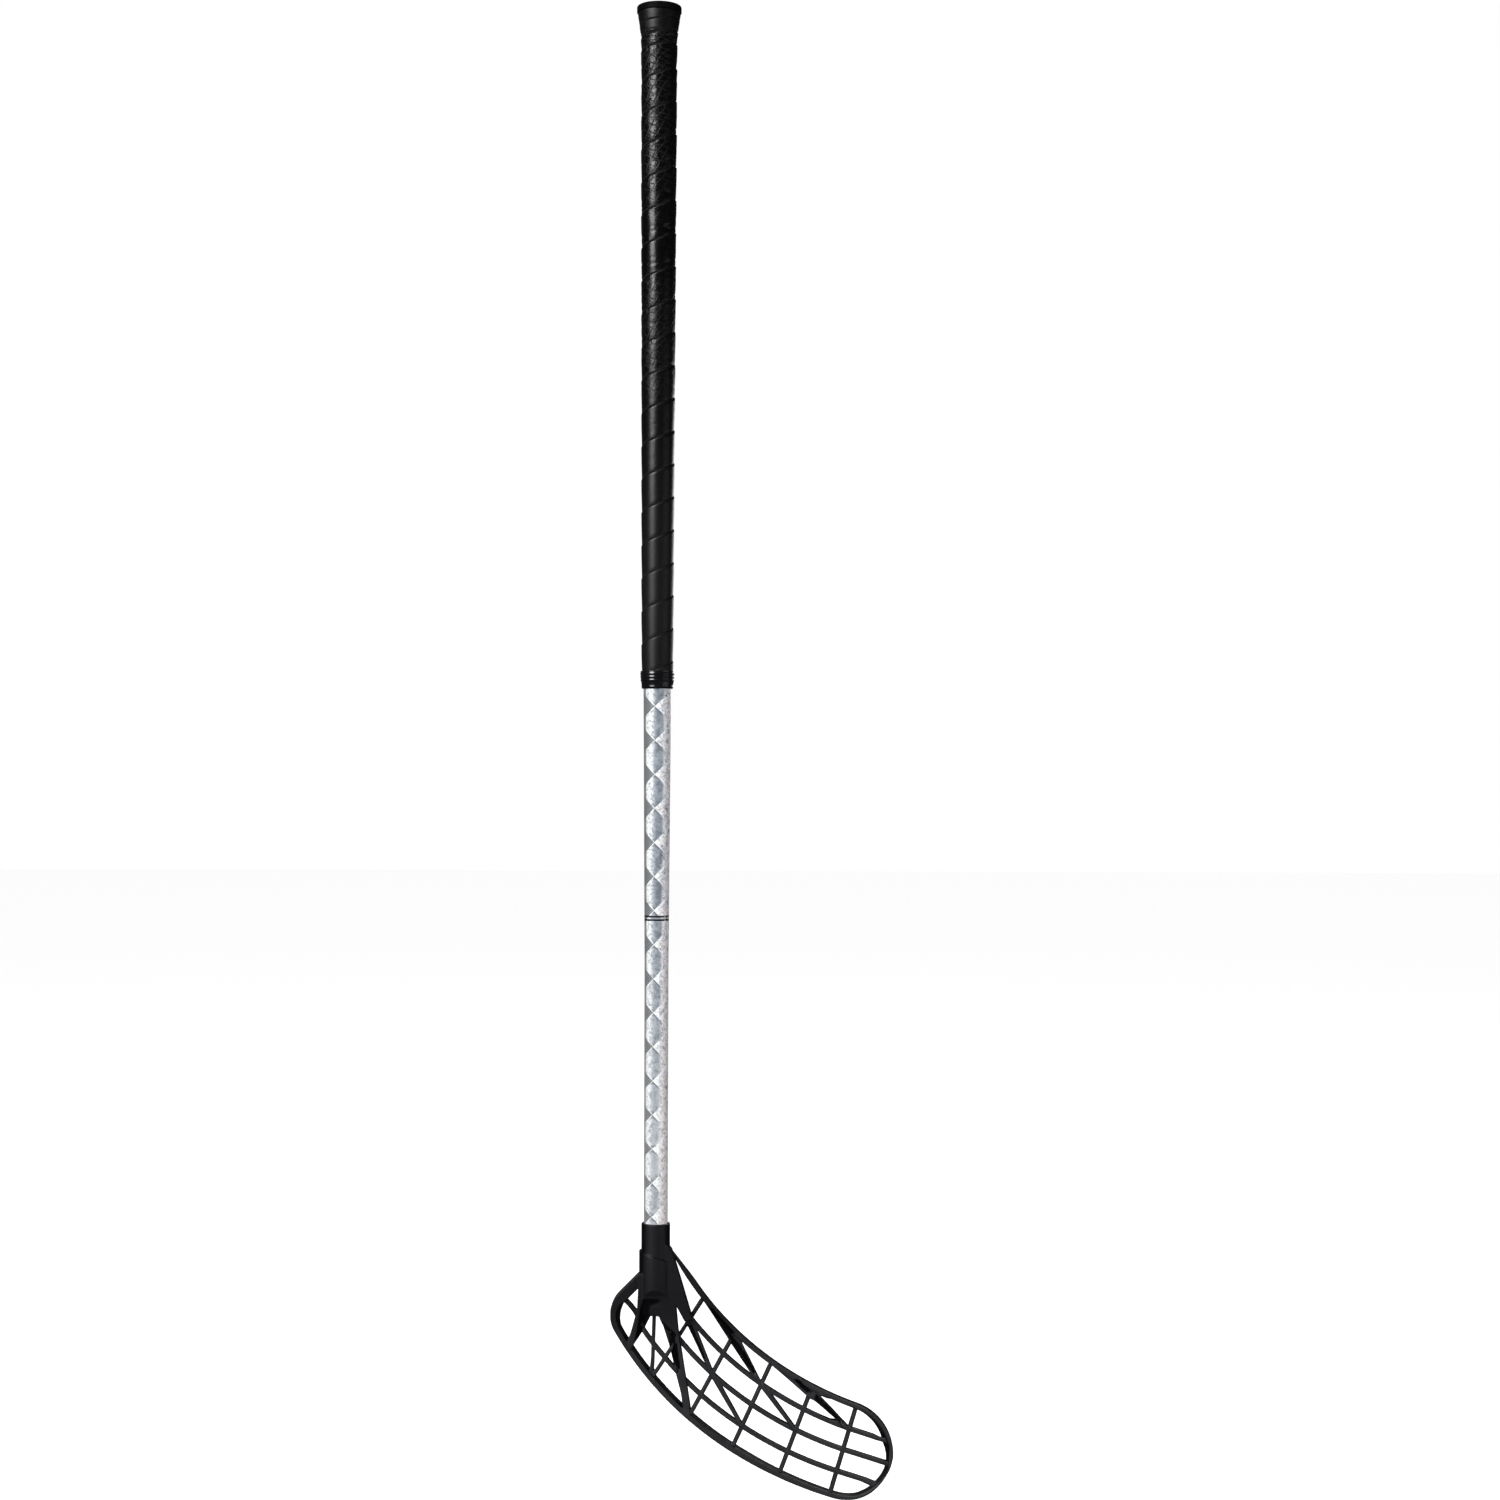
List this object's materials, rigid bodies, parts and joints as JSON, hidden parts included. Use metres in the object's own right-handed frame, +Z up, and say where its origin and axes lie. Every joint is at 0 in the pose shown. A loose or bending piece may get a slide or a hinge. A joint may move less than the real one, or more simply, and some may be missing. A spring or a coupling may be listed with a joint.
{
  "type": "floorball stick",
  "caption": "Floorball stick: tapered composite shaft with a tape-wound flared grip, a ribbed collar and a curved, open-ribbed plastic blade in a socket at the lower end.",
  "frame": {"origin": "on the shaft's axis at the middle of the upper hand's hold on the grip, 70 mm below the butt end", "axes": "+Z up the shaft towards the butt end, +X towards the blade's tip, +Y out of the blade's back, away from its hollow face"},
  "size_m": [0.2197, 0.0423, 1.1601],
  "materials": {
    "shaft_composite": "wound carbon and glass fibre composite, clear coated",
    "silver_film": "printed silver foil with a crossed spiral pattern",
    "cap_plastic": "moulded, satin",
    "flare_foam": "dense foam rubber",
    "grip_tape": "tacky polyurethane tape with an embossed web",
    "collar_rubber": "smooth ribbed rubber",
    "blade_plastic": "injection moulded, satin"
  },
  "bodies": {
    "shaft": {"shaft_tube": "shaft_composite", "print_film": "silver_film", "end_cap": "cap_plastic", "flare_ring": "flare_foam", "grip_tape": "grip_tape", "grip_collar": "collar_rubber"},
    "blade": {"blade": "blade_plastic"}
  },
  "joints": [
    {"name": "blade_pull", "type": "slide", "parent": "shaft", "child": "blade", "axis": [0, 0, -1], "range_m": [0, 0.075]}
  ]
}
